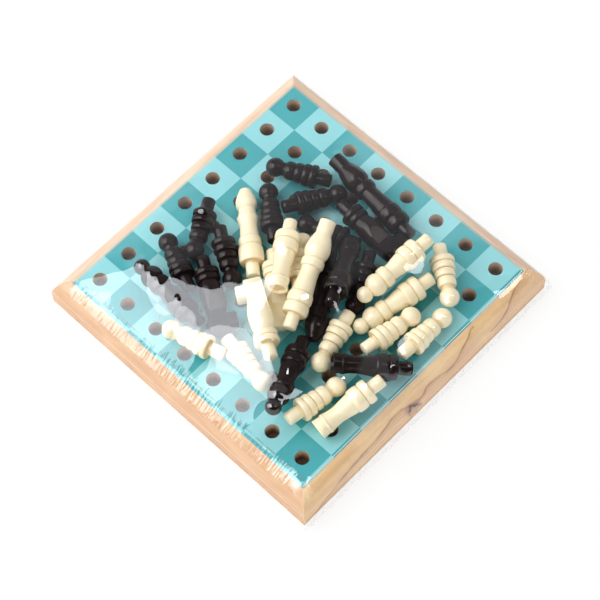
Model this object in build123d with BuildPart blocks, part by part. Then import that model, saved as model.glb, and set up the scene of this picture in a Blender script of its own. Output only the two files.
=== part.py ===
from build123d import *
from math import asin, atan2, cos, degrees, radians, sin
import os

# Travel chess set: a peg board with its thirty-two turned men lying on it under shrink film.
# Millimetres. Z is up, the board rests on Z = 0 and the origin is the middle of its underside.

# board
board_side = 141.0
board_height = 15.5
top_side = 126.8
side_band = 7.5
slope_bulge = 1.2
pitch = 16.0
hole_radius = 3.0
hole_depth = 8.5
hole_shift_x = -0.9
hole_shift_y = 0.75
rows = 8

# printed sheet on the top face
print_side = 126.4
print_thickness = 0.2

# men: what they share
rest_gap = 0.3
peg_radius = 2.75
peg_length = 6.0
foot_radius = 5.1
groove = 0.5

# pawn: stations are lengths from the peg's end
pawn_foot_radius = 5.0
pawn_foot_end = 8.7
pawn_second_radius = 4.7
pawn_second_end = 11.8
pawn_third_radius = 4.15
pawn_third_end = 15.1
pawn_neck_radius = 3.9
pawn_neck_end = 19.3
pawn_ball_radius = 4.0
pawn_ball_at = 23.6

# rook
rook_foot_end = 9.6
rook_ring_end = 14.8
rook_shoulder_radius = 4.4
rook_waist_radius = 3.5
rook_waist_at = 21.5
rook_flare_start = 24.0
rook_top_radius = 4.1
rook_length = 31.5
rook_mouth_radius = 3.3
rook_mouth_depth = 1.6

# bishop
bishop_foot_end = 9.8
bishop_ring_end = 14.2
bishop_cone_radius = 4.8
bishop_neck_radius = 3.4
bishop_neck_at = 21.6
bishop_collar_radius = 4.4
bishop_collar_end = 25.8
bishop_bulb_radius = 4.55
bishop_bulb_at = 28.8
bishop_bulb_end = 32.0
bishop_ball_radius = 3.3
bishop_ball_at = 34.5

# queen
queen_foot_end = 13.5
queen_ring_end = 17.8
queen_waist_radius = 3.6
queen_waist_at = 23.0
queen_collar_radius = 4.5
queen_collar_at = 27.0
queen_collar_end = 31.0
queen_bulb_radius = 4.35
queen_bulb_at = 34.2
queen_nub_radius = 2.7
queen_nub_at = 39.2
queen_length = 41.0

# king
king_foot_end = 10.6
king_ring_end = 15.5
king_waist_radius = 3.8
king_waist_at = 24.0
king_collar_radius = 4.7
king_collar_start = 26.3
king_collar_end = 30.3
king_bulb_radius = 5.15
king_bulb_at = 34.3
king_cap_radius = 3.35
king_cap_at = 40.8
king_length = 47.0

# knight
knight_foot_end = 8.8
knight_ring_end = 11.6
knight_ring_radius = 4.9
knight_throat_radius = 3.9
knight_body_radius = 4.9
knight_body_at = 19.5
knight_body_end = 25.0
knight_length = 35.0
knight_cheek = 3.0
knight_saw_start = 18.5
knight_saw_end = 25.0
knight_nose_start = 27.4
knight_nose_end = 32.8
knight_nose_reach = 7.2
knight_brow = 3.4

# shrink film
film_gap = 1.2
film_thickness = 0.3
film_hem = 0.5
film_shoulder_height = 32.0
film_crown_height = 46.0
film_crown_side = 110.0

# where each man lies: x and y of its peg end, the heading of its axis from peg to head, how far
# its foot and its head are raised off the board, and for a knight its roll about its axis
king_spots = {
    "cream_king": (17.4, -23.1, 114.2, 8.3, 10.6),
    "dark_king": (22.3, 42.3, 173.8, 0.0, 0.0),
}
queen_spots = {
    "cream_queen": (-10.7, -14.3, 139.3, 0.0, 0.0),
    "dark_queen": (3.2, 16.2, -57.2, 0.0, 0.0),
}
rook_spots = {
    "cream_rook_1": (-14.1, 10.9, -55.8, 9.4, 11.2),
    "cream_rook_2": (58.5, -13.9, -100.5, 2.7, 0.0),
    "dark_rook_1": (23.7, -5.7, 118.2, 7.5, 4.8),
    "dark_rook_2": (61.8, -0.3, -137.0, 1.5, 5.4),
}
bishop_spots = {
    "cream_bishop_1": (31.2, 42.7, -94.4, 7.4, 6.5),
    "cream_bishop_2": (41.6, 33.3, -101.5, 0.8, 0.0),
    "dark_bishop_1": (-11.0, -43.9, 176.9, 1.7, 2.4),
    "dark_bishop_2": (22.6, -20.1, -66.3, 2.7, 6.1),
}
knight_spots = {
    "cream_knight_1": (21.9, -37.4, 147.3, 7.8, 7.5, 0.0),
    "cream_knight_2": (-13.4, -0.3, -41.8, 0.0, 0.1, -10.0),
    "dark_knight_1": (-8.6, 33.8, -3.3, 0.0, 0.2, 0.0),
    "dark_knight_2": (-31.7, -22.1, -31.7, 0.1, 0.1, 0.0),
}
pawn_spots = {
    "cream_pawn_1": (5.1, -47.3, -166.4, 1.5, 1.3),
    "cream_pawn_2": (0.3, -40.8, -9.2, 0.5, 1.5),
    "cream_pawn_3": (28.2, 0.2, -75.9, 0.4, 0.1),
    "cream_pawn_4": (33.3, 46.9, -38.0, 0.1, 1.4),
    "cream_pawn_5": (43.5, -8.3, 81.6, 1.7, 2.5),
    "cream_pawn_6": (55.3, 0.6, 89.5, 0.4, 0.0),
    "cream_pawn_7": (42.2, -49.8, 80.8, 1.4, 1.6),
    "cream_pawn_8": (7.7, -8.0, 129.3, 0.7, 1.2),
    "dark_pawn_1": (-18.4, 38.6, -153.8, 0.0, 0.7),
    "dark_pawn_2": (-23.7, 15.9, 62.0, 0.6, 0.0),
    "dark_pawn_3": (-15.6, 2.8, 140.1, 0.0, 0.0),
    "dark_pawn_4": (-48.4, -1.3, -59.6, 0.0, 0.9),
    "dark_pawn_5": (-36.4, -7.6, -32.8, 0.0, 0.0),
    "dark_pawn_6": (-25.3, -35.5, 156.9, 0.0, 0.0),
    "dark_pawn_7": (10.2, 24.8, -162.5, 0.2, 0.0),
    "dark_pawn_8": (15.5, 25.4, -61.4, 0.0, 0.0),
}


def lying(spot, foot_at, foot_size, head_at, head_size):
    # the frame of a man on its side: x runs from its peg end to its head, z is its upper side
    x, y, heading, foot_rise, head_rise = spot
    foot_height = board_height + print_thickness + rest_gap + foot_size + foot_rise
    head_height = board_height + print_thickness + rest_gap + head_size + head_rise
    tilt = asin((head_height - foot_height) / (head_at - foot_at))
    turn = radians(heading)
    along = Vector(cos(turn) * cos(tilt), sin(turn) * cos(tilt), sin(tilt))
    across = Vector(-sin(turn), cos(turn), 0)
    return Plane(
        origin=(x, y, foot_height - foot_at * sin(tilt)),
        x_dir=along,
        z_dir=along.cross(across),
    )


def bead(start, end, radius):
    # one turned ring between two grooves
    low = radius - groove
    middle = (start + end) / 2
    Polyline((start, low), (middle, radius), (end, low))


def pawn(spot):
    place = lying(spot, pawn_foot_end, pawn_foot_radius, pawn_ball_at, pawn_ball_radius)
    throat = pawn_neck_radius - 2 * groove
    throat_at = pawn_ball_at - (pawn_ball_radius**2 - throat**2) ** 0.5
    with BuildPart() as man:
        with BuildSketch(place):
            with BuildLine():
                Polyline((0, 0), (0, peg_radius), (peg_length, peg_radius), (peg_length, pawn_foot_radius - groove))
                bead(peg_length, pawn_foot_end, pawn_foot_radius)
                Line((pawn_foot_end, pawn_foot_radius - groove), (pawn_foot_end, pawn_second_radius - groove))
                bead(pawn_foot_end, pawn_second_end, pawn_second_radius)
                Line((pawn_second_end, pawn_second_radius - groove), (pawn_second_end, pawn_third_radius - groove))
                bead(pawn_second_end, pawn_third_end, pawn_third_radius)
                Line((pawn_third_end, pawn_third_radius - groove), (pawn_third_end, pawn_neck_radius - groove))
                bead(pawn_third_end, pawn_neck_end, pawn_neck_radius)
                Line((pawn_neck_end, pawn_neck_radius - groove), (throat_at, throat))
                ball = ThreePointArc(
                    (throat_at, throat),
                    (pawn_ball_at, pawn_ball_radius),
                    (pawn_ball_at + pawn_ball_radius, 0),
                )
                Line(ball @ 1, (0, 0))
            make_face()
        revolve(axis=Axis(place.origin, place.x_dir))
    return man


def rook(spot):
    place = lying(spot, rook_ring_end, foot_radius, rook_length, rook_top_radius)
    with BuildPart() as man:
        with BuildSketch(place):
            with BuildLine():
                Polyline((0, 0), (0, peg_radius), (peg_length, peg_radius), (peg_length, foot_radius - groove))
                bead(peg_length, rook_foot_end, foot_radius)
                bead(rook_foot_end, rook_ring_end, foot_radius)
                Line((rook_ring_end, foot_radius - groove), (rook_ring_end, rook_shoulder_radius))
                body = ThreePointArc(
                    (rook_ring_end, rook_shoulder_radius),
                    (rook_waist_at, rook_waist_radius),
                    (rook_flare_start, rook_waist_radius + groove / 2),
                )
                Polyline(
                    body @ 1,
                    (rook_length, rook_top_radius),
                    (rook_length, rook_mouth_radius),
                    (rook_length - rook_mouth_depth, 0),
                    (0, 0),
                )
            make_face()
        revolve(axis=Axis(place.origin, place.x_dir))
    return man


def bishop(spot):
    place = lying(spot, bishop_ring_end, foot_radius, bishop_bulb_at, bishop_bulb_radius)
    ball_neck = bishop_ball_radius - 2 * groove
    ball_start = bishop_ball_at - (bishop_ball_radius**2 - ball_neck**2) ** 0.5
    with BuildPart() as man:
        with BuildSketch(place):
            with BuildLine():
                Polyline((0, 0), (0, peg_radius), (peg_length, peg_radius), (peg_length, foot_radius - groove))
                bead(peg_length, bishop_foot_end, foot_radius)
                bead(bishop_foot_end, bishop_ring_end, foot_radius)
                Polyline(
                    (bishop_ring_end, foot_radius - groove),
                    (bishop_ring_end, bishop_cone_radius - groove),
                    (bishop_neck_at, bishop_neck_radius),
                    (bishop_neck_at, bishop_collar_radius - groove),
                )
                bead(bishop_neck_at, bishop_collar_end, bishop_collar_radius)
                bulb = ThreePointArc(
                    (bishop_collar_end, bishop_collar_radius - groove),
                    (bishop_bulb_at, bishop_bulb_radius),
                    (bishop_bulb_end, bishop_bulb_radius - 3 * groove),
                )
                Line(bulb @ 1, (ball_start, ball_neck))
                ball = ThreePointArc(
                    (ball_start, ball_neck),
                    (bishop_ball_at, bishop_ball_radius),
                    (bishop_ball_at + bishop_ball_radius, 0),
                )
                Line(ball @ 1, (0, 0))
            make_face()
        revolve(axis=Axis(place.origin, place.x_dir))
    return man


def queen(spot):
    place = lying(spot, queen_foot_end, foot_radius, queen_bulb_at, queen_bulb_radius)
    with BuildPart() as man:
        with BuildSketch(place):
            with BuildLine():
                Polyline((0, 0), (0, peg_radius), (peg_length, peg_radius), (peg_length, foot_radius - groove))
                bead(peg_length, queen_foot_end, foot_radius)
                Line((queen_foot_end, foot_radius - groove), (queen_foot_end, foot_radius - 2 * groove))
                bead(queen_foot_end, queen_ring_end, foot_radius - groove)
                Line((queen_ring_end, foot_radius - 2 * groove), (queen_ring_end, queen_collar_radius - groove))
                ThreePointArc(
                    (queen_ring_end, queen_collar_radius - groove),
                    (queen_waist_at, queen_waist_radius),
                    (queen_collar_at, queen_collar_radius),
                )
                Polyline(
                    (queen_collar_at, queen_collar_radius),
                    (queen_collar_end, queen_bulb_radius - 2 * groove),
                )
                bulb = ThreePointArc(
                    (queen_collar_end, queen_bulb_radius - 2 * groove),
                    (queen_bulb_at, queen_bulb_radius),
                    (queen_nub_at, queen_nub_radius),
                )
                Polyline(bulb @ 1, (queen_length, queen_nub_radius - 3 * groove), (queen_length, 0), (0, 0))
            make_face()
        revolve(axis=Axis(place.origin, place.x_dir))
    return man


def king(spot):
    place = lying(spot, king_ring_end, foot_radius, king_bulb_at, king_bulb_radius)
    with BuildPart() as man:
        with BuildSketch(place):
            with BuildLine():
                Polyline((0, 0), (0, peg_radius), (peg_length, peg_radius), (peg_length, foot_radius - groove))
                bead(peg_length, king_foot_end, foot_radius)
                bead(king_foot_end, king_ring_end, foot_radius)
                ThreePointArc(
                    (king_ring_end, foot_radius - groove),
                    (king_waist_at, king_waist_radius),
                    (king_collar_start, king_waist_radius),
                )
                Line((king_collar_start, king_waist_radius), (king_collar_start, king_collar_radius - groove))
                bead(king_collar_start, king_collar_end, king_collar_radius)
                bulb = ThreePointArc(
                    (king_collar_end, king_collar_radius - groove),
                    (king_bulb_at, king_bulb_radius),
                    (king_cap_at, king_cap_radius),
                )
                Polyline(bulb @ 1, (king_length, king_cap_radius), (king_length, 0), (0, 0))
            make_face()
        revolve(axis=Axis(place.origin, place.x_dir))
    return man


def knight(spot):
    # a turned foot and body, sawn flat and aslant, under a flat head block with a square nose
    *spot, roll = spot
    place = lying(spot, knight_foot_end, foot_radius, knight_body_at, knight_body_radius)
    with BuildPart() as man:
        with BuildSketch(place):
            with BuildLine():
                Polyline((0, 0), (0, peg_radius), (peg_length, peg_radius), (peg_length, foot_radius - groove))
                bead(peg_length, knight_foot_end, foot_radius)
                Line((knight_foot_end, foot_radius - groove), (knight_foot_end, knight_ring_radius - groove))
                bead(knight_foot_end, knight_ring_end, knight_ring_radius)
                Line((knight_ring_end, knight_ring_radius - groove), (knight_ring_end, knight_throat_radius))
                body = ThreePointArc(
                    (knight_ring_end, knight_throat_radius),
                    (knight_body_at, knight_body_radius),
                    (knight_body_end, knight_throat_radius),
                )
                Polyline(body @ 1, (knight_body_end, 0), (0, 0))
            make_face()
        revolve(axis=Axis(place.origin, place.x_dir))
        side = Plane(place.location * Rotation(roll, 0, 0))
        with BuildSketch(side):
            with BuildLine():
                Polyline(
                    (knight_body_at, -knight_body_radius + groove),
                    (knight_length, -knight_throat_radius),
                    (knight_length, knight_brow),
                    (knight_nose_end, knight_brow),
                    (knight_nose_end, knight_nose_reach),
                    (knight_nose_start, knight_nose_reach),
                    (knight_nose_start, knight_brow),
                    (knight_body_at, knight_body_radius - groove),
                    (knight_body_at, -knight_body_radius + groove),
                )
            make_face()
        extrude(amount=knight_cheek, both=True)
        with BuildSketch(Plane(side.origin, x_dir=side.x_dir, z_dir=-side.y_dir)):
            with BuildLine():
                Polyline(
                    (knight_saw_start, knight_body_radius),
                    (knight_saw_end, knight_cheek),
                    (knight_length, knight_cheek),
                    (knight_length, 2 * knight_body_radius),
                    (knight_saw_start, 2 * knight_body_radius),
                    (knight_saw_start, knight_body_radius),
                )
            make_face()
            mirror(about=Plane.XZ)
        extrude(amount=knight_nose_reach, both=True, mode=Mode.SUBTRACT)
    return man


os.makedirs("parts", exist_ok=True)

men = (
    (king, king_spots),
    (queen, queen_spots),
    (rook, rook_spots),
    (bishop, bishop_spots),
    (knight, knight_spots),
    (pawn, pawn_spots),
)

# the block: its cross-section drawn both ways and mitred at the corners
middle_x = (board_side + top_side) / 4 + slope_bulge
middle_z = (side_band + board_height) / 2 + slope_bulge
with BuildPart() as board:
    for upright, mode in ((Plane.XZ, Mode.ADD), (Plane.YZ, Mode.INTERSECT)):
        with BuildSketch(upright):
            with BuildLine():
                Polyline(
                    (-board_side / 2, side_band),
                    (-board_side / 2, 0),
                    (board_side / 2, 0),
                    (board_side / 2, side_band),
                )
                ThreePointArc(
                    (board_side / 2, side_band),
                    (middle_x, middle_z),
                    (top_side / 2, board_height),
                )
                Line((top_side / 2, board_height), (-top_side / 2, board_height))
                ThreePointArc(
                    (-top_side / 2, board_height),
                    (-middle_x, middle_z),
                    (-board_side / 2, side_band),
                )
            make_face()
        extrude(amount=board_side / 2, both=True, mode=mode)
    with Locations((hole_shift_x, hole_shift_y, board_height)):
        with GridLocations(pitch, pitch, rows, rows):
            Hole(hole_radius, hole_depth)
board.part.label = "board"
export_step(board.part, "parts/board.step")

with BuildPart() as playing_print:
    with BuildSketch(Plane.XY.offset(board_height)):
        Rectangle(print_side, print_side)
        with Locations((hole_shift_x, hole_shift_y)):
            with GridLocations(pitch, pitch, rows, rows):
                Circle(hole_radius, mode=Mode.SUBTRACT)
    extrude(amount=print_thickness)
playing_print.part.label = "playing_print"
export_step(playing_print.part, "parts/playing_print.step")

for make_man, spots in men:
    for name, spot in spots.items():
        man = make_man(spot)
        man.part.label = name
        export_step(man.part, f"parts/{name}.step")

# the film: upright walls round the board, drawn in to a flat crown above the men, open underneath
film_side = board_side + 2 * film_gap
film_lean = degrees(atan2((film_side - film_crown_side) / 2, film_crown_height - film_shoulder_height))
with BuildPart() as shrink_film:
    with BuildSketch(Plane.XY.offset(film_hem)):
        Rectangle(film_side, film_side)
    extrude(amount=film_shoulder_height - film_hem)
    with BuildSketch(Plane.XY.offset(film_shoulder_height)):
        Rectangle(film_side, film_side)
    extrude(amount=film_crown_height - film_shoulder_height, taper=film_lean)
    offset(amount=-film_thickness, openings=shrink_film.faces().sort_by(Axis.Z)[0])
shrink_film.part.label = "shrink_film"
export_step(shrink_film.part, "parts/shrink_film.step")
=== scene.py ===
from math import asin, cos, pi, radians, sin, sqrt

import bpy
import numpy as np
from mathutils import Matrix, Vector


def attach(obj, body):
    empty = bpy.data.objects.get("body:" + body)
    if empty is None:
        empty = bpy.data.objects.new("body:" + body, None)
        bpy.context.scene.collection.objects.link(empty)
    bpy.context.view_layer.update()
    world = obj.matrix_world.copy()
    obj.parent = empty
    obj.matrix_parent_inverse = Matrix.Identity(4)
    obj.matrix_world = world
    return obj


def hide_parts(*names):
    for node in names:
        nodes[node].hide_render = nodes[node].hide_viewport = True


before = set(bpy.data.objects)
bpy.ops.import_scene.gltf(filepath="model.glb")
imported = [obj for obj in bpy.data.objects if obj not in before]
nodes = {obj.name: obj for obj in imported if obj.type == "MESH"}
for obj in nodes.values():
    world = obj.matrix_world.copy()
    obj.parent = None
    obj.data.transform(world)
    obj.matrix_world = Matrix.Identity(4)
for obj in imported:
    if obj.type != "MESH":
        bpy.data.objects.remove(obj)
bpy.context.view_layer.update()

MM = 0.001

# sizes shared with the solids, in millimetres
board_side = 141.0
board_height = 15.5
top_side = 126.8
side_band = 7.5
slope_bulge = 1.2
pitch = 16.0
rows = 8
hole_shift_x = -0.9
hole_shift_y = 0.75
print_thickness = 0.2
rest_gap = 0.3
peg_radius = 2.75
peg_length = 6.0
foot_radius = 5.1

# the scene's own: the printed squares, and the men's finer turning
square = 15.84
peg_chamfer = 0.35
groove = 0.75
rook_collar_start = 26.6
rook_collar_end = 28.2

# the men, as in the solids: stations along a man are lengths from its peg's end
pawn_foot_end = 8.7
pawn_foot_radius = 5.0
pawn_second_end = 11.8
pawn_second_radius = 4.7
pawn_third_end = 15.1
pawn_third_radius = 4.15
pawn_neck_end = 19.3
pawn_neck_radius = 3.9
pawn_ball_at = 23.6
pawn_ball_radius = 4.0
rook_foot_end = 9.6
rook_ring_end = 14.8
rook_length = 31.5
rook_top_radius = 4.1
bishop_foot_end = 9.8
bishop_ring_end = 14.2
bishop_neck_at = 21.6
bishop_collar_end = 25.8
bishop_bulb_at = 28.8
bishop_bulb_radius = 4.55
bishop_ball_at = 34.5
bishop_ball_radius = 3.3
queen_foot_end = 13.5
queen_ring_end = 17.8
queen_collar_end = 31.0
queen_bulb_at = 34.2
queen_bulb_radius = 4.35
queen_nub_at = 39.2
king_foot_end = 10.6
king_ring_end = 15.5
king_collar_start = 26.3
king_collar_end = 30.3
king_bulb_at = 34.3
king_bulb_radius = 5.15
knight_foot_end = 8.8
knight_ring_end = 11.6
knight_body_at = 19.5
knight_body_radius = 4.9
knight_body_end = 25.0
knight_length = 35.0
knight_cheek = 3.0
knight_saw_start = 18.5
knight_saw_end = 25.0
knight_nose_start = 27.4
knight_nose_end = 32.8
knight_nose_reach = 7.2

# where each man lies, as in the solids: x and y of its peg end, heading, rise of its foot and of
# its head, and for a knight its roll
king_spots = {
    "cream_king": (17.4, -23.1, 114.2, 8.3, 10.6),
    "dark_king": (22.3, 42.3, 173.8, 0.0, 0.0),
}
queen_spots = {
    "cream_queen": (-10.7, -14.3, 139.3, 0.0, 0.0),
    "dark_queen": (3.2, 16.2, -57.2, 0.0, 0.0),
}
rook_spots = {
    "cream_rook_1": (-14.1, 10.9, -55.8, 9.4, 11.2),
    "cream_rook_2": (58.5, -13.9, -100.5, 2.7, 0.0),
    "dark_rook_1": (23.7, -5.7, 118.2, 7.5, 4.8),
    "dark_rook_2": (61.8, -0.3, -137.0, 1.5, 5.4),
}
bishop_spots = {
    "cream_bishop_1": (31.2, 42.7, -94.4, 7.4, 6.5),
    "cream_bishop_2": (41.6, 33.3, -101.5, 0.8, 0.0),
    "dark_bishop_1": (-11.0, -43.9, 176.9, 1.7, 2.4),
    "dark_bishop_2": (22.6, -20.1, -66.3, 2.7, 6.1),
}
knight_spots = {
    "cream_knight_1": (21.9, -37.4, 147.3, 7.8, 7.5, 0.0),
    "cream_knight_2": (-13.4, -0.3, -41.8, 0.0, 0.1, -10.0),
    "dark_knight_1": (-8.6, 33.8, -3.3, 0.0, 0.2, 0.0),
    "dark_knight_2": (-31.7, -22.1, -31.7, 0.1, 0.1, 0.0),
}
pawn_spots = {
    "cream_pawn_1": (5.1, -47.3, -166.4, 1.5, 1.3),
    "cream_pawn_2": (0.3, -40.8, -9.2, 0.5, 1.5),
    "cream_pawn_3": (28.2, 0.2, -75.9, 0.4, 0.1),
    "cream_pawn_4": (33.3, 46.9, -38.0, 0.1, 1.4),
    "cream_pawn_5": (43.5, -8.3, 81.6, 1.7, 2.5),
    "cream_pawn_6": (55.3, 0.6, 89.5, 0.4, 0.0),
    "cream_pawn_7": (42.2, -49.8, 80.8, 1.4, 1.6),
    "cream_pawn_8": (7.7, -8.0, 129.3, 0.7, 1.2),
    "dark_pawn_1": (-18.4, 38.6, -153.8, 0.0, 0.7),
    "dark_pawn_2": (-23.7, 15.9, 62.0, 0.6, 0.0),
    "dark_pawn_3": (-15.6, 2.8, 140.1, 0.0, 0.0),
    "dark_pawn_4": (-48.4, -1.3, -59.6, 0.0, 0.9),
    "dark_pawn_5": (-36.4, -7.6, -32.8, 0.0, 0.0),
    "dark_pawn_6": (-25.3, -35.5, 156.9, 0.0, 0.0),
    "dark_pawn_7": (10.2, 24.8, -162.5, 0.2, 0.0),
    "dark_pawn_8": (15.5, 25.4, -61.4, 0.0, 0.0),
}


# ---- turned outlines: lists of (station, radius, how far out of a groove, 0 to 1) ----


def peg():
    return [
        (0, 0, 1),
        (0, peg_radius - peg_chamfer, 1),
        (peg_chamfer, peg_radius, 1),
        (peg_length * 0.5, peg_radius, 1),
        (peg_length - 0.02, peg_radius, 0.35),
    ]


def bead(start, end, radius, depth=groove, steps=12, fullness=2.6):
    """A barrel ring between two V grooves."""
    points = []
    for step in range(steps + 1):
        u = -cos(pi * step / steps)
        lift = (1 - abs(u) ** fullness) ** 0.5
        station = (start + end) / 2 + (end - start) / 2 * u
        points.append((station, radius - depth + depth * lift, lift))
    return points


def curve(points, steps=6):
    """A smooth run through the given (station, radius) points."""
    out = []
    for i in range(len(points) - 1):
        p0 = points[max(i - 1, 0)]
        p1, p2 = points[i], points[i + 1]
        p3 = points[min(i + 2, len(points) - 1)]
        for step in range(steps + (i == len(points) - 2)):
            t = step / steps
            s, r = (
                0.5
                * (
                    2 * b
                    + (c - a) * t
                    + (2 * a - 5 * b + 4 * c - d) * t * t
                    + (3 * b - a - 3 * c + d) * t**3
                )
                for a, b, c, d in zip(p0, p1, p2, p3)
            )
            out.append((s, r, 1))
    return out


def ball(at, radius, start_radius, steps=14):
    """A ball end, from its throat to the axis."""
    first = asin(start_radius / radius)
    points = []
    for step in range(steps + 1):
        angle = pi - first - (pi - first) * step / steps
        crest = min(1, 0.3 + step / 3)
        points.append((at + radius * cos(angle), max(radius * sin(angle), 0), crest))
    return points


pawn_line = (
    peg()
    + bead(peg_length, pawn_foot_end, pawn_foot_radius)
    + bead(pawn_foot_end, pawn_second_end, pawn_second_radius)
    + bead(pawn_second_end, pawn_third_end, pawn_third_radius)
    + bead(pawn_third_end, pawn_neck_end, pawn_neck_radius, depth=0.95, fullness=2.2)
    + ball(pawn_ball_at, pawn_ball_radius, 2.75)
)
rook_line = (
    peg()
    + bead(peg_length, rook_foot_end, foot_radius)
    + bead(rook_foot_end, rook_ring_end, foot_radius)
    + curve(
        [(rook_ring_end, 4.35), (18.0, 3.95), (21.5, 3.5), (24.5, 3.62), (rook_collar_start, 4.05)]
    )
    + bead(rook_collar_start, rook_collar_end, 4.2, depth=0.4, steps=6)
    + curve(
        [(rook_collar_end, 3.85), (29.8, 4.0), (31.2, rook_top_radius), (rook_length, 3.95)],
        steps=3,
    )
    # the hollow of its mouth
    + [(rook_length, 3.4, 1), (30.2, 2.9, 0.2), (29.9, 0, 0.2)]
)
bishop_line = (
    peg()
    + bead(peg_length, bishop_foot_end, foot_radius)
    + bead(bishop_foot_end, bishop_ring_end, foot_radius)
    + curve([(bishop_ring_end, 4.3), (17.0, 4.0), (19.5, 3.55), (bishop_neck_at, 3.35)])
    + bead(bishop_neck_at, bishop_collar_end, 4.4, depth=0.9)
    + curve(
        [
            (bishop_collar_end, 3.55),
            (27.0, 4.3),
            (bishop_bulb_at, bishop_bulb_radius),
            (30.6, 4.0),
            (32.0, 2.95),
        ]
    )
    + ball(bishop_ball_at, bishop_ball_radius, 2.35)
)
queen_line = (
    peg()
    + bead(peg_length, queen_foot_end, foot_radius, fullness=3.2)
    + bead(queen_foot_end, queen_ring_end, 4.65)
    + curve([(queen_ring_end, 3.95), (20.0, 3.75), (23.0, 3.6), (25.4, 4.05), (27.0, 4.45)])
    + curve([(27.05, 4.1), (28.5, 3.75), (queen_collar_end, 3.4)], steps=4)
    + curve(
        [
            (queen_collar_end, 3.35),
            (32.2, 4.1),
            (queen_bulb_at, queen_bulb_radius),
            (37.0, 3.75),
            (queen_nub_at, 2.75),
        ]
    )
    + curve([(queen_nub_at, 2.7), (40.3, 2.3), (41.0, 1.2), (41.05, 0)], steps=4)
)
king_line = (
    peg()
    + bead(peg_length, king_foot_end, foot_radius)
    + bead(king_foot_end, king_ring_end, foot_radius)
    + curve(
        [(king_ring_end, 4.5), (18.5, 4.2), (22.0, 3.85), (24.5, 3.75), (king_collar_start, 3.85)]
    )
    + bead(king_collar_start, king_collar_end, 4.7, depth=0.8)
    + curve(
        [
            (king_collar_end, 4.0),
            (32.0, 4.8),
            (king_bulb_at, king_bulb_radius),
            (37.6, 4.55),
            (40.8, 3.5),
        ]
    )
    + curve([(40.85, 3.15), (43.0, 3.3), (46.4, 3.3), (46.9, 3.0), (47.0, 0)], steps=4)
)
knight_line = (
    peg()
    + bead(peg_length, knight_foot_end, foot_radius)
    + bead(knight_foot_end, knight_ring_end, knight_body_radius)
    + curve(
        [
            (knight_ring_end, 3.9),
            (15.0, 4.65),
            (knight_body_at, knight_body_radius),
            (23.0, 4.5),
            (knight_body_end, 3.95),
        ]
    )
    + [(25.1, 0, 1)]
)

# each kind's outline and places, and the (station, radius) that its foot and its head lie on
kinds = {
    "king": (king_line, king_spots, king_ring_end, foot_radius, king_bulb_at, king_bulb_radius),
    "queen": (
        queen_line,
        queen_spots,
        queen_foot_end,
        foot_radius,
        queen_bulb_at,
        queen_bulb_radius,
    ),
    "rook": (rook_line, rook_spots, rook_ring_end, foot_radius, rook_length, rook_top_radius),
    "bishop": (
        bishop_line,
        bishop_spots,
        bishop_ring_end,
        foot_radius,
        bishop_bulb_at,
        bishop_bulb_radius,
    ),
    "knight": (
        knight_line,
        knight_spots,
        knight_foot_end,
        foot_radius,
        knight_body_at,
        knight_body_radius,
    ),
    "pawn": (
        pawn_line,
        pawn_spots,
        pawn_foot_end,
        pawn_foot_radius,
        pawn_ball_at,
        pawn_ball_radius,
    ),
}


def lying(spot, foot_at, foot_size, head_at, head_size):
    """A man's frame: x from its peg end to its head, z its upper side. In millimetres."""
    x, y, heading, foot_rise, head_rise = spot[:5]
    foot_height = board_height + print_thickness + rest_gap + foot_size + foot_rise
    head_height = board_height + print_thickness + rest_gap + head_size + head_rise
    tilt = asin((head_height - foot_height) / (head_at - foot_at))
    turn = radians(heading)
    along = Vector((cos(turn) * cos(tilt), sin(turn) * cos(tilt), sin(tilt)))
    across = Vector((-sin(turn), cos(turn), 0))
    upper = along.cross(across)
    place = Matrix((along, across, upper)).transposed().to_4x4()
    place.translation = Vector((x, y, foot_height - foot_at * sin(tilt)))
    return place


# ---- materials ----


def rgba(colour):
    return (*colour, 1) if isinstance(colour, tuple) else colour


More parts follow.
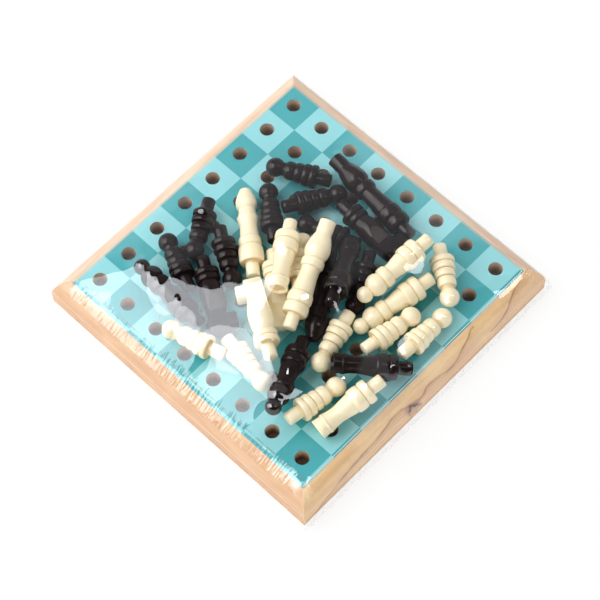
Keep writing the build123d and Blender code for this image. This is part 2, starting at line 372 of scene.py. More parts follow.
class Graph:
    """A node tree: every call adds nodes and feeds their sockets with values or other sockets."""

    def __init__(self, tree):
        self.tree = tree

    def feed(self, socket, value):
        if isinstance(value, bpy.types.NodeSocket):
            self.tree.links.new(value, socket)
        else:
            socket.default_value = value

    def add(self, kind, inputs, out=0, **settings):
        node = self.tree.nodes.new(kind)
        for name, value in settings.items():
            setattr(node, name, value)
        for name, value in inputs.items():
            self.feed(node.inputs[name], value)
        return node.outputs[out]

    def math(self, operation, a, b=0.0, c=0.0):
        return self.add("ShaderNodeMath", {0: a, 1: b, 2: c}, operation=operation)

    def plus(self, a, b):
        return self.math("ADD", a, b)

    def minus(self, a, b):
        return self.math("SUBTRACT", a, b)

    def times(self, a, b):
        return self.math("MULTIPLY", a, b)

    def size(self, a):
        """The number without its sign."""
        return self.math("ABSOLUTE", a)

    def larger(self, a, b):
        return self.math("MAXIMUM", a, b)

    def above(self, a, b):
        return self.math("GREATER_THAN", a, b)

    def below(self, a, b):
        return self.math("LESS_THAN", a, b)

    def distance(self, a, b):
        return self.math("SQRT", self.plus(self.math("POWER", a, 2.0), self.math("POWER", b, 2.0)))

    def vector(self, x, y, z):
        return self.add("ShaderNodeCombineXYZ", {0: x, 1: y, 2: z})

    def axes(self, vector):
        return self.add("ShaderNodeSeparateXYZ", {0: vector}).node.outputs

    def choose(self, factor, a, b):
        """The number a where the factor is 0 and b where it is 1."""
        return self.add("ShaderNodeMix", {0: factor, 2: a, 3: b})

    def mix(self, factor, a, b):
        """The colour a where the factor is 0 and b where it is 1."""
        inputs = {"Factor": factor, 6: rgba(a), 7: rgba(b)}
        return self.add("ShaderNodeMix", inputs, out=2, data_type="RGBA", blend_type="MIX")

    def ramp(self, value, start, end, to_start=0.0, to_end=1.0, run="SMOOTHSTEP"):
        """From one number to another; a noise lies mostly between 0.3 and 0.7."""
        inputs = {
            "Value": value,
            "From Min": start,
            "From Max": end,
            "To Min": to_start,
            "To Max": to_end,
        }
        return self.add("ShaderNodeMapRange", inputs, interpolation_type=run)

    def coords(self, scale=(1, 1, 1), location=(0, 0, 0)):
        spot = self.add("ShaderNodeTexCoord", {}, out=3)
        return self.add(
            "ShaderNodeMapping", {"Vector": spot, "Scale": scale, "Location": location}
        )

    def in_mm(self):
        return self.coords((1 / MM, 1 / MM, 1 / MM))

    def noise(self, vector, scale, detail=3.0, roughness=0.55, distortion=0.0):
        inputs = {
            "Vector": vector,
            "Scale": scale,
            "Detail": detail,
            "Roughness": roughness,
            "Distortion": distortion,
        }
        return self.add("ShaderNodeTexNoise", inputs)


class Surface(Graph):
    """The node tree of a new material."""

    def __init__(self, name):
        self.material = bpy.data.materials.new(name)
        self.material.use_nodes = True
        super().__init__(self.material.node_tree)
        self.shader = self.tree.nodes["Principled BSDF"]

    def set(self, **values):
        for name, value in values.items():
            self.feed(self.shader.inputs[name.replace("_", " ")], value)

    def bump(self, height, strength, distance):
        inputs = {"Height": height, "Strength": strength, "Distance": distance}
        self.set(Normal=self.add("ShaderNodeBump", inputs))


# the men's wood: noise cells per metre along a man and across it, and how much each mark shows
grain_cells = (90, 1500, 1500)
cloud_cells = (140, 140, 140)
turning_cells = (2600, 220, 220)
streak_share = 0.55
cloud_share = 0.3
sawn_share = 0.8
roughness_spread = 0.12
turning_share = 0.5
wood_relief = 0.00006


def man_material(
    name, crest, trough, streak, raw, roughness, coat, coat_roughness, gloss, relief
):
    """Turned wood: fine lengthwise grain, darker colour in the grooves, varnish on top."""
    g = Surface(name)
    grain = g.noise(g.coords(grain_cells), 1.0, detail=4.0, roughness=0.6)
    clouds = g.noise(g.coords(cloud_cells), 1.0, detail=2.0)
    out_of_groove = g.add("ShaderNodeAttribute", {}, out=2, attribute_name="crest")
    colour = g.mix(g.ramp(out_of_groove, 0.0, 0.75), trough, crest)
    colour = g.mix(g.times(g.ramp(grain, 0.5, 0.78), streak_share), colour, streak)
    colour = g.mix(g.ramp(clouds, 0.35, 0.75, 0.0, cloud_share), colour, streak)
    sawn = g.add("ShaderNodeAttribute", {}, out=2, attribute_name="sawn")
    g.set(Base_Color=g.mix(g.times(sawn, sawn_share), colour, raw))
    g.set(Roughness=g.ramp(grain, 0.3, 0.7, roughness, roughness + roughness_spread))
    g.set(Coat_Weight=coat, Coat_Roughness=coat_roughness, Specular_IOR_Level=gloss)
    rings = g.noise(g.coords(turning_cells), 1.0, detail=2.0)
    height = g.plus(grain, g.times(rings, turning_share))
    g.bump(height, strength=relief, distance=wood_relief)
    return g.material


cream_wood = man_material(
    "cream_wood",
    crest=(0.97, 0.86, 0.60),
    trough=(0.76, 0.57, 0.30),
    streak=(0.92, 0.76, 0.48),
    raw=(0.96, 0.85, 0.61),
    roughness=0.42,
    coat=0.25,
    coat_roughness=0.2,
    gloss=0.5,
    relief=0.25,
)
dark_wood = man_material(
    "dark_wood",
    crest=(0.009, 0.0034, 0.0036),
    trough=(0.003, 0.0012, 0.0012),
    streak=(0.015, 0.006, 0.0055),
    raw=(0.060, 0.046, 0.042),
    roughness=0.42,
    coat=0.36,
    coat_roughness=0.1,
    gloss=0.08,
    relief=0.03,
)


# the swirling growth line on the +X side: (place along the side, how far out), in hole pitches
growth_line = (
    (-4.4, 4.78),
    (-3.5, 4.62),
    (-2.6, 4.53),
    (-1.7, 4.46),
    (-1.05, 4.38),
    (-0.75, 4.47),
    (-0.38, 4.53),
    (0.0, 4.43),
    (0.35, 4.45),
    (0.68, 4.53),
    (1.2, 4.40),
    (1.6, 4.28),
    (1.96, 4.17),
    (2.1, 4.60),
    (2.4, 4.58),
    (2.8, 4.50),
    (3.1, 4.36),
    (3.4, 4.23),
    (4.3, 4.02),
)
# the reach of the graph that holds it, the gap in it, and how the rings fade towards the gap
line_span = (-4.5, 4.5)
line_reach = (3.9, 4.9)
line_break = (1.94, 2.12)
break_fade = (0.08, 0.45)
line_waver = 0.05
line_waver_cells = 9.0
stroke_fade = (0.004, 0.042)
halo_width = 0.11
ring_fade = (0.1, 0.3)
ring_rate = 85.0
# the marks were measured in the plane of the top: a place below it is shifted by this share of
# its depth
sight_slope = 0.357

# pine: its pale and deep wood, set apart for the +X and -Y sides, where they are partly the wood's
# own tone and partly painted light on +X and painted shade on -Y; and its marks, with noise cells
# per hole pitch
pine_pale = (0.79, 0.60, 0.44)
pine_deep = (0.69, 0.48, 0.33)
pine_pale_plus_x_lit = (0.97, 0.70, 0.37)
pine_deep_plus_x_lit = (0.88, 0.56, 0.28)
pine_pale_minus_y_shaded = (0.72, 0.45, 0.245)
pine_deep_minus_y_shaded = (0.62, 0.345, 0.175)
pine_mottle = (0.78, 0.48, 0.32)
pine_streak = (0.60, 0.34, 0.20)
pine_fleck = (0.62, 0.33, 0.20)
outer_wood = (0.78, 0.46, 0.29)
ring_brown = (0.55, 0.30, 0.18)
halo_brown = (0.60, 0.32, 0.17)
line_brown = (0.40, 0.17, 0.07)
grain_squash = 0.16
fine_grain_cells = 44.0
broad_grain_cells = 5.0
mottle_cells = 2.2
fleck_cells = 26.0
pine_roughness = (0.5, 0.68)
# how much each mark hides of the wood under it
mottle_share = 0.4
pine_streak_share = 0.4
fleck_share = 0.3
outer_share = 0.3
ring_share = 0.35
ring_least = 0.25
halo_share = 0.45
stroke_share = 0.9

# the knot: its middle and half widths, in hole pitches, and the V of its crack
knot_at = (-0.72, 4.58)
knot_size = (0.34, 0.19)
knot_raggedness = 1.1
knot_cells = 9.0
knot_share = 0.7
knot_brown = (0.42, 0.20, 0.13)
crack_lift = 0.45
crack_slope = 1.5
crack_share = 0.9
crack_black = (0.07, 0.04, 0.05)

# the lower arris: how far above it the painted highlight lies and how far below it the painted
# shade line
arris_up = 0.3
arris_down = 0.6
arris_light_share = 0.75
arris_shade_share = 0.45
arris_light = (0.97, 0.80, 0.58)
arris_shade = (0.50, 0.25, 0.14)

# nearer the middle than this, in hole pitches, the board shows only the walls of its holes
board_edge_reach = 3.93
# the holes' walls darken from mouth to bottom: painted shade in the holes
hole_wall_deep_shade = (0.34, 0.23, 0.16)
hole_wall_mouth = (0.66, 0.50, 0.37)
print_wrap = 0.6
# a thin white line on +X just past the print's edge: a painted highlight where the film bends over
# the arris
crease_highlight_width = 0.12
crease_painted_highlight = (0.86, 0.95, 0.95)
pine_relief = 0.00012

# the print: its two tones, each drifting a little to a second one, and a broken brown line inside
# its -Y edge
print_dark = (0.042, 0.37, 0.41)
print_dark_drift = (0.041, 0.39, 0.43)
print_pale = (0.26, 0.65, 0.69)
print_pale_drift = (0.275, 0.665, 0.705)
brown_line_inset = 2.1
brown_line_width = 0.26
brown_line_share = 0.8
brown_line_colour = (0.22, 0.17, 0.10)
tone_cells = (60, 60, 60)
brown_line_cells = (300, 1, 1)
speckle_cells = (4000, 4000, 4000)
print_roughness = (0.38, 0.5)
paper_relief = 0.00002


def chequer_squares(g):
    """1 on the dark squares of the eight by eight chequer, 0 on the pale ones."""
    step = 1 / (square * MM)
    start = (rows - hole_shift_x * MM * step, rows - hole_shift_y * MM * step, 0.5)
    cell = g.coords((step, step, 0), start)
    return g.add("ShaderNodeTexChecker", {"Vector": cell, "Scale": 1.0}, out=1)


def growth_line_height(g, along):
    """How far out the growth line lies at each place along the side."""
    line = g.tree.nodes.new("ShaderNodeFloatCurve")
    knots = line.mapping.curves[0].points
    span = line_span[1] - line_span[0]
    reach = line_reach[1] - line_reach[0]
    marks = [((a - line_span[0]) / span, (o - line_reach[0]) / reach) for a, o in growth_line]
    knots[0].location, knots[1].location = marks[0], marks[-1]
    for mark in marks[1:-1]:
        knots.new(*mark)
    line.mapping.update()
    g.feed(line.inputs["Value"], g.ramp(along, *line_span, run="LINEAR"))
    return g.ramp(line.outputs[0], 0, 1, *line_reach, run="LINEAR")


def board_material():
    """Bare pine: long grain along each side, with the knot and its swirling rings on +X."""
    g = Surface("pine")
    unit = 1 / (pitch * MM)
    spot = g.coords((unit, unit, unit), (-hole_shift_x / pitch, -hole_shift_y / pitch, 0))
    x, y, z = g.axes(spot)
    size_x, size_y = g.size(x), g.size(y)
    outward = g.larger(size_x, size_y)
    on_x_side = g.above(size_x, size_y)
    minus_y = g.times(g.minus(1.0, on_x_side), g.below(y, 0.0))
    plus_x = g.times(on_x_side, g.above(x, 0.0))
    drop = g.times(g.minus(board_height / pitch, z), sight_slope)
    out = g.plus(outward, drop)
    along = g.choose(on_x_side, x, g.minus(y, drop))

    # long grain: fine streaks over broad bands
    vector = g.vector(g.times(along, grain_squash), out, on_x_side)
    fine = g.noise(vector, fine_grain_cells, detail=5.0, roughness=0.6, distortion=0.15)
    broad = g.noise(vector, broad_grain_cells, roughness=0.5, distortion=0.5)
    mottle = g.noise(g.vector(along, out, 0.3), mottle_cells)
    # each side's pale and deep wood: painted light on +X and painted shade on -Y, over the wood's
    # own tone
    pale = g.mix(minus_y, g.mix(plus_x, pine_pale, pine_pale_plus_x_lit), pine_pale_minus_y_shaded)
    deep = g.mix(minus_y, g.mix(plus_x, pine_deep, pine_deep_plus_x_lit), pine_deep_minus_y_shaded)
    colour = g.mix(g.ramp(broad, 0.3, 0.7), pale, deep)
    colour = g.mix(g.ramp(mottle, 0.45, 0.8, 0.0, mottle_share), colour, pine_mottle)
    colour = g.mix(g.ramp(fine, 0.54, 0.74, 0.0, pine_streak_share), colour, pine_streak)
    flecks = g.noise(g.vector(along, g.times(out, 0.2), 5.0), fleck_cells, detail=2.0)
    flecks = g.times(g.ramp(flecks, 0.6, 0.75, 0.0, fleck_share), minus_y)
    colour = g.mix(flecks, colour, pine_fleck)

    # the growth line and the rings outside it, which fade at the break in the line
    waver = g.minus(g.noise(vector, line_waver_cells, detail=2.0), 0.5)
    waver = g.times(waver, line_waver)
    beyond = g.plus(g.minus(out, growth_line_height(g, along)), waver)
    from_break = g.size(g.minus(along, sum(line_break) / 2))
    whole = g.ramp(from_break, *break_fade)
    outside = g.ramp(beyond, -0.01, 0.02)
    rings = g.ramp(g.math("SINE", g.times(beyond, ring_rate)), 0.2, 1.0, 0.0, ring_share)
    rings = g.times(g.times(rings, outside), g.ramp(beyond, *ring_fade, 1.0, ring_least))
    outside = g.times(outside, whole)
    rings = g.times(rings, outside)
    stroke = g.ramp(g.size(beyond), *stroke_fade, stroke_share, 0.0)
    stroke = g.times(stroke, g.ramp(mottle, 0.3, 0.6, 0.25, 0.75))
    stroke = g.times(stroke, g.above(from_break, (line_break[1] - line_break[0]) / 2))
    halo = g.ramp(beyond, 0.0, halo_width, halo_share, 0.0)
    halo = g.times(halo, g.times(outside, plus_x))
    colour = g.mix(g.times(g.times(outside, outer_share), plus_x), colour, outer_wood)
    colour = g.mix(g.times(rings, plus_x), colour, ring_brown)
    colour = g.mix(halo, colour, halo_brown)
    colour = g.mix(g.times(stroke, plus_x), colour, line_brown)

    # the knot astride the arris
    knot_x = g.math("DIVIDE", g.minus(along, knot_at[0]), knot_size[0])
    knot_y = g.math("DIVIDE", g.minus(out, knot_at[1]), knot_size[1])
    ragged = g.minus(g.noise(spot, knot_cells, detail=4.0, roughness=0.7), 0.5)
    ragged = g.times(ragged, knot_raggedness)
    away = g.plus(g.distance(knot_x, knot_y), ragged)
    knot = g.times(g.ramp(away, 0.35, 1.1, 1.0, 0.0), plus_x)
    colour = g.mix(g.times(knot, knot_share), colour, knot_brown)
    # a V of two cracks that meet at the knot's outer edge
    vee = g.minus(g.plus(knot_y, crack_lift), g.times(g.size(knot_x), crack_slope))
    crack = g.ramp(g.size(g.plus(vee, ragged)), 0.08, 0.42, 1.0, 0.0)
    crack = g.times(crack, g.ramp(away, 0.55, 1.05, 1.0, 0.0))
    colour = g.mix(g.times(g.times(crack, plus_x), crack_share), colour, crack_black)

    # a painted highlight along the lower arris, with a painted shade line under it, both broken up
    # by the grain
    height = g.times(z, pitch)
    grain_breakup = g.ramp(fine, 0.3, 0.6, 0.35, 1.0)
    arris = g.size(g.minus(height, side_band + arris_up))
    arris = g.ramp(arris, 0.1, 0.45, arris_light_share, 0.0)
    under = g.size(g.minus(height, side_band - arris_down))
    under = g.ramp(under, 0.1, 0.6, arris_shade_share, 0.0)
    colour = g.mix(g.times(arris, grain_breakup), colour, arris_light)
    colour = g.mix(g.times(under, grain_breakup), colour, arris_shade)

    # the printed sheet wraps a little way over the upper arris on to the slope
    x_mm, y_mm, _ = g.axes(g.in_mm())
    reach = g.larger(g.size(x_mm), g.size(y_mm))
    wrapped = g.below(reach, top_side / 2 + print_wrap)
    colour = g.mix(wrapped, colour, g.mix(chequer_squares(g), print_pale, print_dark))
    # a painted highlight: a thin white line along the +X arris, where the film's bend mirrors the
    # lamps
    crease = g.times(g.below(reach, top_side / 2 + crease_highlight_width), plus_x)
    colour = g.mix(crease, colour, crease_painted_highlight)

    # the walls of the holes are darker than the faces, and darker still towards the bottom: painted
    # shade
    walls = g.mix(g.ramp(z, 0.45, 0.97), hole_wall_deep_shade, hole_wall_mouth)
    g.set(Base_Color=g.mix(g.below(outward, board_edge_reach), colour, walls))
    g.set(Roughness=g.ramp(fine, 0.3, 0.7, *pine_roughness))
    g.bump(g.minus(fine, stroke), strength=0.35, distance=pine_relief)
    return g.material


def print_material():
    """The printed chequer: eight squares by eight, in two tones."""
    g = Surface("chequer_print")
    tone = g.noise(g.coords(tone_cells), 1.0, detail=2.0)
    dark = g.mix(tone, print_dark, print_dark_drift)
    pale = g.mix(tone, print_pale, print_pale_drift)
    colour = g.mix(chequer_squares(g), pale, dark)
    # a broken brown line just inside the -Y arris
    from_brown_line = g.size(g.plus(g.axes(g.in_mm())[1], top_side / 2 - brown_line_inset))
    broken = g.ramp(g.noise(g.coords(brown_line_cells), 1.0, detail=2.0), 0.4, 0.55)
    brown_line = g.times(g.ramp(from_brown_line, brown_line_width / 2, brown_line_width, brown_line_share, 0.0), broken)
    g.set(Base_Color=g.mix(brown_line, colour, brown_line_colour))
    speckle = g.noise(g.coords(speckle_cells), 1.0, detail=2.0)
    g.set(Roughness=g.ramp(speckle, 0.3, 0.7, *print_roughness))
    g.bump(speckle, strength=0.15, distance=paper_relief)
    return g.material


# the film is a mirror of this opacity, as clear film reflects about 4% of the light at each face
film_alpha = 0.08
film_tint = (0.92, 0.95, 1.0, 1.0)
film_roughness = 0.035
film_relief = 0.00035
# where its pleats, its creases and its gathers lie, in millimetres from the middle
pleat_edge = -64.6
corner_at = 61.5
crease_reach = 3.0
gather_from = 66.5
gather_full = 70.5
# noise cells per millimetre, the pleats' shortest and longest, and how hard each tilts the mirror
pleat_cells = 0.95
cluster_cells = 0.16
pleat_length_cells = 0.7
pleat_lengths = (1.4, 5.0)
spoke_cells = 1.2
gather_cells = 1.1
waver_cells = 0.13
pleat_push = 1.5
crease_push = 3.0
waver_push = 0.5
# the hem's opacity: that of its clear and its cloudy streaks, times a share at its foot and at
# its head, which are so many millimetres up
hem_tint = (1.0, 0.95, 0.91, 1.0)
hem_roughness = 0.35
hem_cells = (520, 520, 90)
hem_streaks = (0.2, 0.42)
hem_foot_and_head = (0.8, 5.5)
hem_cloud = (0.9, 0.35)
hem_relief = 0.0001


def film_material():
    """Clear shrink film: a thin mirror-like skin with pleats over one edge and creased corners."""
    g = Surface("film")
    g.set(Base_Color=film_tint, Metallic=1.0, Roughness=film_roughness, Alpha=film_alpha)
    spot = g.in_mm()
    x, y, _ = g.axes(spot)
    size_x, size_y = g.size(x), g.size(y)

    # short pleats square to the -Y arris, in clusters
    strokes = g.noise(g.vector(x, g.times(y, 0.1), 0.0), pleat_cells, detail=1.0)
    clusters = g.noise(g.vector(x, 3.0, 0.0), cluster_cells, detail=2.0)
    clusters = g.ramp(clusters, 0.36, 0.5)
    length = g.noise(g.vector(x, 9.0, 0.0), pleat_length_cells, detail=1.0)
    length = g.ramp(length, 0.3, 0.7, *pleat_lengths)
    reach = g.math("DIVIDE", g.size(g.minus(y, pleat_edge)), length)
    pleats = g.times(g.ramp(reach, 0.5, 1.0, 1.0, 0.0), clusters)
    pleats = g.times(pleats, g.times(g.minus(strokes, 0.5), pleat_push))

    # creases that fan out round each corner of the top
    side = g.minus(size_x, corner_at)
    over = g.minus(size_y, corner_at)
    fan = g.math("ARCTAN2", over, side)
    near_corner = g.times(g.ramp(side, 0.0, crease_reach), g.ramp(over, 0.0, crease_reach))
    spokes = g.vector(g.times(fan, 9.0), g.times(g.distance(side, over), 0.3), x)
    spokes = g.noise(spokes, spoke_cells, roughness=0.65)
    creases = g.times(g.times(g.minus(spokes, 0.5), near_corner), crease_push)

    # fine gathers on the slopes and sides, and a faint waver everywhere
    out = g.larger(size_x, size_y)
    on_x_side = g.above(size_x, size_y)
    along = g.choose(on_x_side, x, y)
    gathers = g.vector(along, g.times(out, 0.25), on_x_side)
    gathers = g.noise(gathers, gather_cells, roughness=0.6)
    gathers = g.times(g.minus(gathers, 0.5), g.ramp(out, gather_from, gather_full))
    waver = g.times(g.noise(spot, waver_cells, detail=0.0), waver_push)
    height = g.plus(g.plus(pleats, creases), g.plus(gathers, waver))
    g.bump(height, strength=1.0, distance=film_relief)
    return g.material


def hem_material():
    """The shrunken hem: crumpled enough to look milky, in uneven streaks, densest at its foot."""
    g = Surface("film_hem")
    streaks = g.noise(g.coords(hem_cells), 1.0, detail=2.0, roughness=0.5)
    height = g.axes(g.in_mm())[2]
    streaked = g.ramp(streaks, 0.35, 0.7, *hem_streaks)
    milky = g.times(streaked, g.ramp(height, *hem_foot_and_head, *hem_cloud))
    g.set(Base_Color=hem_tint, Roughness=hem_roughness, Alpha=milky)
    g.bump(streaks, strength=0.08, distance=hem_relief)
    return g.material


def dress(node, material):
    node.data.materials.clear()
    node.data.materials.append(material)


dress(nodes["board"], board_material())
dress(nodes["playing_print"], print_material())
film_look = film_material()
hem_look = hem_material()


# ---- the men ----

turned_sharp_angle = 50
film_sharp_angle = 80


def lathe(line, segments=56):
    """Points and faces of a turned body round x, and each point's crest value."""
    points, faces, crests = [], [], []
    rings = []
    for station, radius, crest in line:
        if radius <= 0:
            rings.append([len(points)])
            points.append(Vector((station, 0, 0)))
            crests.append(crest)
            continue
        ring = []
        for k in range(segments):
            angle = 2 * pi * k / segments
            ring.append(len(points))
            points.append(Vector((station, radius * cos(angle), radius * sin(angle))))
            crests.append(crest)
        rings.append(ring)
    for a, b in zip(rings, rings[1:]):
        for k in range(segments):
            n = (k + 1) % segments
            if len(a) == 1:
                faces.append((a[0], b[k], b[n]))
            elif len(b) == 1:
                faces.append((a[n], a[k], b[0]))
            else:
                faces.append((a[n], a[k], b[k], b[n]))
    return points, faces, crests


def smooth_mesh(name, points, faces, crests, material, sharp_angle):
    mesh = bpy.data.meshes.new(name)
    mesh.from_pydata([p * MM for p in points], [], faces)
    mesh.attributes.new("crest", "FLOAT", "POINT").data.foreach_set("value", crests)
    mesh.materials.append(material)
    mesh.shade_smooth()
    mesh.set_sharp_from_angle(angle=radians(sharp_angle))
    obj = bpy.data.objects.new(name, mesh)
    bpy.context.scene.collection.objects.link(obj)
    return obj


# the outline of a knight's head block: (station, how far towards the nose)
knight_head = (
    (knight_body_at, -4.35),
    (27.0, -4.15),
    (34.6, -3.85),
    (knight_length, -3.45),
    (knight_length, 3.0),
    (34.7, 3.4),
    (33.0, 3.45),
    (knight_nose_end, 3.7),
    (32.75, 6.8),
    (32.4, knight_nose_reach),
    (27.9, knight_nose_reach),
    (27.5, 6.9),
    (knight_nose_start, 3.7),
    (27.2, 3.5),
    (knight_body_at, 4.35),
)
knight_head_middle = 28.0
knight_head_ease = 0.35


def knight_parts(roll):
    """The turned foot and body, sawn aslant on both cheeks, and the head block with its nose."""
    points, faces, crests = lathe(knight_line)
    sawn = [0.0] * len(points)
    for k, p in enumerate(points):
        if p.x > knight_saw_start:
            t = min((p.x - knight_saw_start) / (knight_saw_end - knight_saw_start), 1)
            limit = knight_body_radius + (knight_cheek - knight_body_radius) * t
            if abs(p.z) > limit:
                p.z = limit if p.z > 0 else -limit
                sawn[k] = 1.0
    # the block's four layers: its height and how far its outline is drawn in
    layers = (
        (-knight_cheek, knight_head_ease),
        (-knight_cheek + knight_head_ease, 0),
        (knight_cheek - knight_head_ease, 0),
        (knight_cheek, knight_head_ease),
    )
    centre = Vector((knight_head_middle, 0, 0))
    first = len(points)
    for height, inset in layers:
        for s, w in knight_head:
            p = Vector((s, w, 0))
            pull = (centre - p).normalized() * inset
            points.append(Vector((p.x + pull.x, p.y + pull.y, height)))
            crests.append(1.0 if inset == 0 else 0.8)
            sawn.append(0.0)
    count = len(knight_head)
    for layer in range(len(layers) - 1):
        for k in range(count):
            n = (k + 1) % count
            a = first + layer * count
            faces.append((a + k, a + n, a + count + n, a + count + k))
    faces.append(tuple(first + k for k in reversed(range(count))))
    faces.append(tuple(first + (len(layers) - 1) * count + k for k in range(count)))
    turn = Matrix.Rotation(radians(roll), 3, "X")
    return [turn @ p for p in points], faces, crests, sawn


places = []
for kind, (line, spots, *seat) in kinds.items():
    for name, spot in spots.items():
        sawn = None
        if kind == "knight":
            points, faces, crests, sawn = knight_parts(spot[5])
        else:
            points, faces, crests = lathe(line)
        material = cream_wood if name.startswith("cream") else dark_wood
        man = smooth_mesh(name + "_turned", points, faces, crests, material, turned_sharp_angle)
        if sawn:
            man.data.attributes.new("sawn", "FLOAT", "POINT").data.foreach_set("value", sawn)
        place = lying(spot, *seat)
        places.append((kind, place, spot))
        metres = place.copy()
        metres.translation = place.translation * MM
        man.matrix_world = metres
        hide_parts(name)
        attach(man, name)


# ---- the film: the tautest skin that clears the board and the men ----

film_overhang = 1.1
film_side = board_side + 2 * film_overhang
film_step = 0.55
film_clear = 0.2
film_puff = 0.016
relax_rounds = 2200
# in metres
# past the board's edge by this gap, the film may sag this far below the upper end of the band
edge_gap = 0.3
edge_sag = 1.0
# stands for no man at all
far_below = -50

# a knight that rolls less than this lies on its cheek; the rest is its head under the film
cheek_roll = 45
cheek_swell = 0.5
knight_nape = 3.0
knight_half_head = 3.5

# near both ends of the +X side the film stands off the arris as a shallow tent
tent_middle = 51.5
tent_reach = 8.5
tent_height = 0.55
tent_ridge = 62.0
tent_slope = 0.4245
tent_depth = 4.0

# how proud each kind of crease stands and how often it comes, and how wide the pleats are
gather_height = 0.16
gather_rate = 1.25
crease_height = 0.55
crease_rate = 6.5
pleat_height = 0.12
pleat_rate = 1.1
pleat_reach = 3.5

# the hem's rings: height, how far it flares and how much the flare swells
hem_rings = ((5.2, 0.1, 0.35), (2.6, 0.4, 0.5), (0.6, 1.1, 0.6))
hem_wave = 0.21
hem_wave_middle = 0.3


def moulding_height(out):
    """Height of the board's rounded side, an arc through three points, at a distance out."""
    foot = (board_side / 2, side_band)
    crest = (
        (board_side + top_side) / 4 + slope_bulge,
        (side_band + board_height) / 2 + slope_bulge,
    )
    head = (top_side / 2, board_height)
    (ax, az), (bx, bz), (cx, cz) = foot, crest, head
    d = 2 * (ax * (bz - cz) + bx * (cz - az) + cx * (az - bz))
    a2, b2, c2 = (px * px + pz * pz for px, pz in (foot, crest, head))
    ux = (a2 * (bz - cz) + b2 * (cz - az) + c2 * (az - bz)) / d
    uz = (a2 * (cx - bx) + b2 * (ax - cx) + c2 * (bx - ax)) / d
    radius = sqrt((ax - ux) ** 2 + (az - uz) ** 2)
    return uz + np.sqrt(np.clip(radius**2 - (out - ux) ** 2, 0, None))


def ripple(t):
    """An uneven wave from 0 to 1."""
    return 0.5 + (np.sin(1.9 * t) + 0.7 * np.sin(3.1 * t + 1.3) + 0.5 * np.sin(5.3 * t + 0.4)) / 4.4


def man_height(kind, place, spot, x, y):
    """Height of a lying man's upper side over each point of the grid."""
    stations = np.array([p[0] for p in kinds[kind][0]])
    radii = np.array([p[1] for p in kinds[kind][0]])
    start = place.translation
    along = place.to_3x3().col[0]
    flat = sqrt(along.x**2 + along.y**2)
    s = ((x - start.x) * along.x + (y - start.y) * along.y) / flat / flat
    q = np.abs((x - start.x) * along.y - (y - start.y) * along.x) / flat
    reach = np.interp(s, stations, radii, left=0, right=0)
    top = np.where(reach > q, np.sqrt(np.clip(reach**2 - q**2, 0, None)) / flat, far_below)
    if kind == "knight" and abs(spot[5]) < cheek_roll:
        top = np.where(s > knight_body_at, np.minimum(top, knight_cheek + cheek_swell), top)
        side = (x - start.x) * -along.y + (y - start.y) * along.x
        on_nose = (s > knight_nose_start) & (s < knight_nose_end)
        on_nose = on_nose & (side > -knight_nape) & (side < knight_nose_reach)
        on_head = (s >= knight_saw_end) & (s < knight_length) & (q < knight_half_head)
        top = np.where(on_nose | on_head, knight_cheek, top)
    return start.z + s * along.z + top


def film_heights():
    """The grid's line in millimetres, and the film's height over each point of the grid."""
    half = film_side / 2
    count = int(film_side / film_step) // 2 * 2 + 1
    line = np.linspace(-half, half, count)
    x, y = np.meshgrid(line, line, indexing="ij")
    out = np.maximum(np.abs(x), np.abs(y))
    floor = moulding_height(np.clip(out, top_side / 2, board_side / 2))
    floor = np.where(out <= top_side / 2, board_height + print_thickness, floor)
    floor = np.where(out > board_side / 2 + edge_gap, side_band - edge_sag, floor)
    for place in places:
        floor = np.maximum(floor, man_height(*place, x, y))
    for end in (-1, 1):
        rise = np.clip(1 - ((y * end - tent_middle) / tent_reach) ** 2, 0, 1)
        roof = board_height + print_thickness + tent_height * rise + (tent_ridge - x) * tent_slope
        under_roof = (rise > 0) & (x > tent_ridge - tent_depth * rise) & (x <= tent_ridge)
        floor = np.where(under_roof, np.maximum(floor, roof), floor)
    floor = floor + film_clear
    skin = floor.copy()
    skin[0, :] = skin[-1, :] = skin[:, 0] = skin[:, -1] = side_band
    # a little trapped air makes the free spans bulge, so they steepen towards the sides
    puff = np.where(out < top_side / 2, film_puff * (line[1] - line[0]) ** 2 / 4, 0)[1:-1, 1:-1]
    for _ in range(relax_rounds):
        mean = (skin[2:, 1:-1] + skin[:-2, 1:-1] + skin[1:-1, 2:] + skin[1:-1, :-2]) / 4
        skin[1:-1, 1:-1] = np.maximum(floor[1:-1, 1:-1], mean + puff)

    # gathers on the slopes, creases round the corners, pleats across the -Y arris: all stand proud
    along = np.where(np.abs(x) > np.abs(y), y, x)
    gathers = gather_height * ripple(along * gather_rate + out * 0.2)
    gathers = gathers * np.clip((out - gather_from) / (gather_full - gather_from), 0, 1)
    side, over = np.abs(x) - corner_at, np.abs(y) - corner_at
    fan = np.arctan2(over, side)
    creases = crease_height * ripple(fan * crease_rate + np.sign(x) + 2 * np.sign(y))
    creases = creases * np.clip(np.minimum(side, over) / crease_reach, 0, 1)
    pleats = pleat_height * ripple(x * pleat_rate) ** 2
    pleats = pleats * np.clip(1 - np.abs(y - pleat_edge) / pleat_reach, 0, 1)
    skin[1:-1, 1:-1] += (gathers + creases + pleats)[1:-1, 1:-1]
    return line, skin


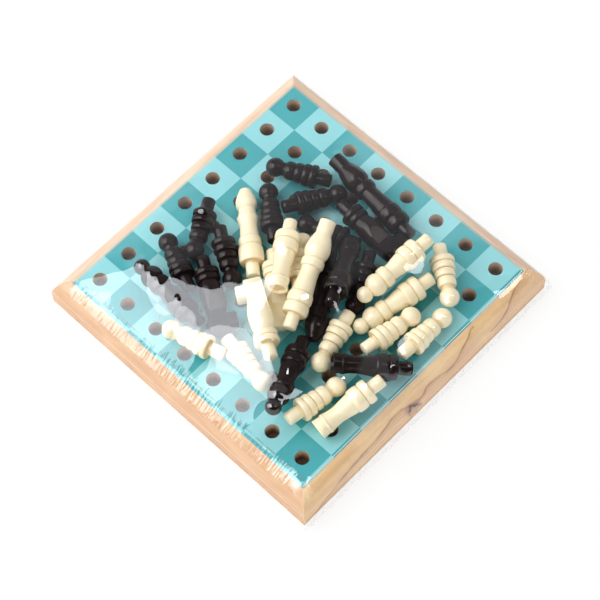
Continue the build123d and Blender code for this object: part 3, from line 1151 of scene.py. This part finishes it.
line_mm, skin = film_heights()
count = len(line_mm)
film_points = [
    Vector((line_mm[i], line_mm[j], skin[i, j])) for i in range(count) for j in range(count)
]
film_faces = [
    (i * count + j, (i + 1) * count + j, (i + 1) * count + j + 1, i * count + j + 1)
    for i in range(count - 1)
    for j in range(count - 1)
]
rim = (
    [i * count for i in range(count)]
    + [(count - 1) * count + j for j in range(1, count)]
    + [i * count + count - 1 for i in reversed(range(count - 1))]
    + [j for j in reversed(range(1, count - 1))]
)
above = rim
hem_from = len(film_faces)
for drop, flare, swell in hem_rings:
    below = []
    for k, v in enumerate(rim):
        p = film_points[v]
        wave = float(ripple(k * hem_wave + drop)) - hem_wave_middle
        proud = 1 + (flare + swell * wave) / (film_side / 2)
        below.append(len(film_points))
        film_points.append(Vector((p.x * proud, p.y * proud, drop)))
    for k in range(len(rim)):
        n = (k + 1) % len(rim)
        film_faces.append((above[k], below[k], below[n], above[n]))
    above = below
film_crests = [1.0] * len(film_points)
film = smooth_mesh("film", film_points, film_faces, film_crests, film_look, film_sharp_angle)
film.data.materials.append(hem_look)
for face in film.data.polygons[hem_from:]:
    face.material_index = 1
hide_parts("shrink_film")
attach(film, "shrink_film")


# ---- floor, camera and light ----

paper_cells = (300, 300, 300)
paper_tones = ((0.93, 0.93, 0.93), (0.95, 0.95, 0.95))
ground_glow = 0.84

bpy.ops.mesh.primitive_plane_add(size=60, location=(0, 0, 0))
ground = bpy.context.object
ground.name = "ground"
g = Surface("ground")
g.set(Base_Color=g.mix(g.noise(g.coords(paper_cells), 1.0), *paper_tones), Roughness=0.9)
glow = g.add("ShaderNodeEmission", {"Color": (1, 1, 1, 1), "Strength": 1.0})
path = g.add("ShaderNodeLightPath", {}).node.outputs
shiny = g.larger(path["Is Glossy Ray"], path["Is Transmission Ray"])
seen = g.larger(path["Is Camera Ray"], shiny)
blend = g.add(
    "ShaderNodeMixShader", {0: g.times(seen, ground_glow), 1: g.shader.outputs[0], 2: glow}
)
g.feed(g.tree.nodes["Material Output"].inputs["Surface"], blend)
ground.data.materials.append(g.material)

# the camera, as solved on the holes in the photograph; its distance and target in hole pitches
camera_azimuth = radians(45.648)
camera_elevation = radians(63.459)
camera_roll = radians(-2.109)
target_across = 0.5381
target_along = -0.4808
camera_distance = 51.387
focal_pixels = 2066.5
picture_pixels = 600.0

target_x = target_across * pitch + hole_shift_x
target_y = target_along * pitch + hole_shift_y
camera_target = Vector((target_x, target_y, board_height)) * MM
back = Vector(
    (
        sin(camera_azimuth) * cos(camera_elevation),
        -cos(camera_azimuth) * cos(camera_elevation),
        sin(camera_elevation),
    )
)
level = (-back).cross(Vector((0, 0, 1))).normalized()
upright = level.cross(-back)
right = level * cos(camera_roll) + upright * sin(camera_roll)
up = upright * cos(camera_roll) - level * sin(camera_roll)
lens = bpy.data.cameras.new("camera")
lens.sensor_width = 36.0
lens.lens = lens.sensor_width * focal_pixels / picture_pixels
camera = bpy.data.objects.new("camera", lens)
bpy.context.scene.collection.objects.link(camera)
turned = Matrix((right, up, back)).transposed().to_4x4()
turned.translation = camera_target + back * (camera_distance * pitch * MM)
camera.matrix_world = turned
bpy.context.scene.camera = camera


def softbox(name, towards, distance, size, power, glossy=True, diffuse=True):
    """A rectangular lamp that faces the origin, from a direction and a distance in metres."""
    lamp = bpy.data.lights.new(name, "AREA")
    lamp.shape = "RECTANGLE"
    lamp.size, lamp.size_y = size
    lamp.energy = power
    obj = bpy.data.objects.new(name, lamp)
    bpy.context.scene.collection.objects.link(obj)
    direction = Vector(towards).normalized()
    obj.location = direction * distance
    obj.rotation_mode = "QUATERNION"
    obj.rotation_quaternion = direction.to_track_quat("Z", "Y")
    obj.visible_glossy = glossy
    obj.visible_diffuse = diffuse
    obj.visible_camera = False


# the key is one large reflector to the left: the film's lower slopes mirror it
key_towards = (-0.84, -0.75, 1.0)
softbox("key", key_towards, 1.2, (1.3, 1.45), 19.4, glossy=False)
softbox("key_mirrored", key_towards, 1.15, (1.25, 1.4), 23.0, diffuse=False)
# its hot middle whitens the film over the -Y arris
softbox("core_mirrored", (-0.32, -0.456, 0.831), 1.1, (0.6, 0.6), 3.3, diffuse=False)
softbox("top", (-0.3, 0.6, 0.75), 0.6, (0.4, 0.4), 1.35, glossy=False)
# a tall window that the film mirrors over the +X arris
softbox("window", (0.42, 0.3, 0.85), 1.3, (0.18, 0.8), 2.2, diffuse=False)
# a small bright lamp for crisp glints on the film and the varnish
softbox("spark", (-0.15, 0.1, 1.0), 1.3, (0.03, 0.06), 0.1, diffuse=False)
softbox("fill", (0.8, -0.35, 0.5), 1.7, (0.9, 0.9), 10.0, glossy=False)

# the world is white to the eye; it lights the set dimly, and shiny things mirror a studio that is
# white near the horizon and pale at the back wall, under a dim ceiling
world_strength = 0.2
ceiling_strength = 0.02
back_wall_strength = 0.34

world = bpy.context.scene.world or bpy.data.worlds.new("world")
bpy.context.scene.world = world
world.use_nodes = True
g = Graph(world.node_tree)
sky = g.tree.nodes["Background"]
sky.inputs["Color"].default_value = (1.0, 1.0, 1.0, 1.0)
path = g.add("ShaderNodeLightPath", {}).node.outputs
look_x, look_y, look_z = g.axes(g.add("ShaderNodeTexCoord", {}, out=0))
ceiling = g.ramp(look_z, 0.05, 0.35, 1.0, ceiling_strength)
towards_back = g.minus(g.times(look_y, 1.5), g.times(look_x, 0.5))
back_wall = g.ramp(towards_back, 0.64, 0.8, ceiling_strength, back_wall_strength)
shiny = g.larger(path["Is Glossy Ray"], path["Is Transmission Ray"])
strength = g.choose(shiny, world_strength, g.larger(ceiling, back_wall))
strength = g.choose(path["Is Camera Ray"], strength, 1.0)
g.feed(sky.inputs["Strength"], strength)

bpy.context.scene.view_settings.view_transform = "Standard"
